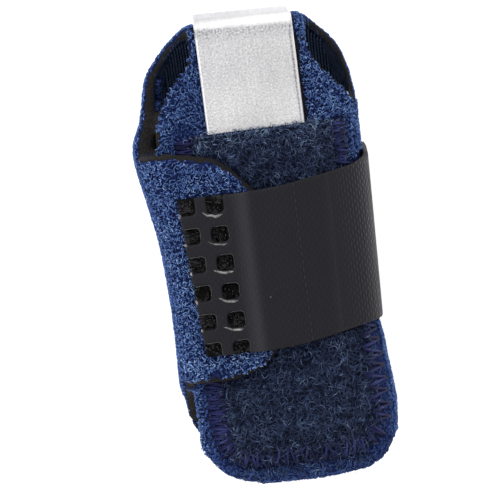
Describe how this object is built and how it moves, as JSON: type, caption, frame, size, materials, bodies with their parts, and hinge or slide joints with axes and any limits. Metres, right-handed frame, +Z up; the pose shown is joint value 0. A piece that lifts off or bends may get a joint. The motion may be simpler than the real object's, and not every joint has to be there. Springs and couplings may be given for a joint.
{
  "type": "toe straightener",
  "caption": "Padded cloth sleeve that straightens a toe or finger: open at one end, with a bent flat metal stay in a stitched front pocket, an overlapping flap and a wrap-round hook strap.",
  "frame": {"origin": "centre of the base of the bounding box, on the surface that the sleeve lies on", "axes": "+X to the sleeve's right side, +Y from the open end to the tip, +Z up out of the front panel"},
  "size_m": [0.0383, 0.0778, 0.0281],
  "materials": {
    "loop_cloth": "mid-blue loop pile bonded to black foam with a dark ribbed lining",
    "pile_patch": "long matted grey-blue pile",
    "stay_metal": "satin rolled aluminium",
    "strap_band": "matte black stretch band with fine ribs",
    "hook_tape": "black moulded hooks"
  },
  "bodies": {
    "root": {"wrap": "loop_cloth", "stay_pocket": "pile_patch", "aluminium_stay": "stay_metal", "closure_strap": "strap_band", "hook_tab": "hook_tape"}
  },
  "joints": []
}
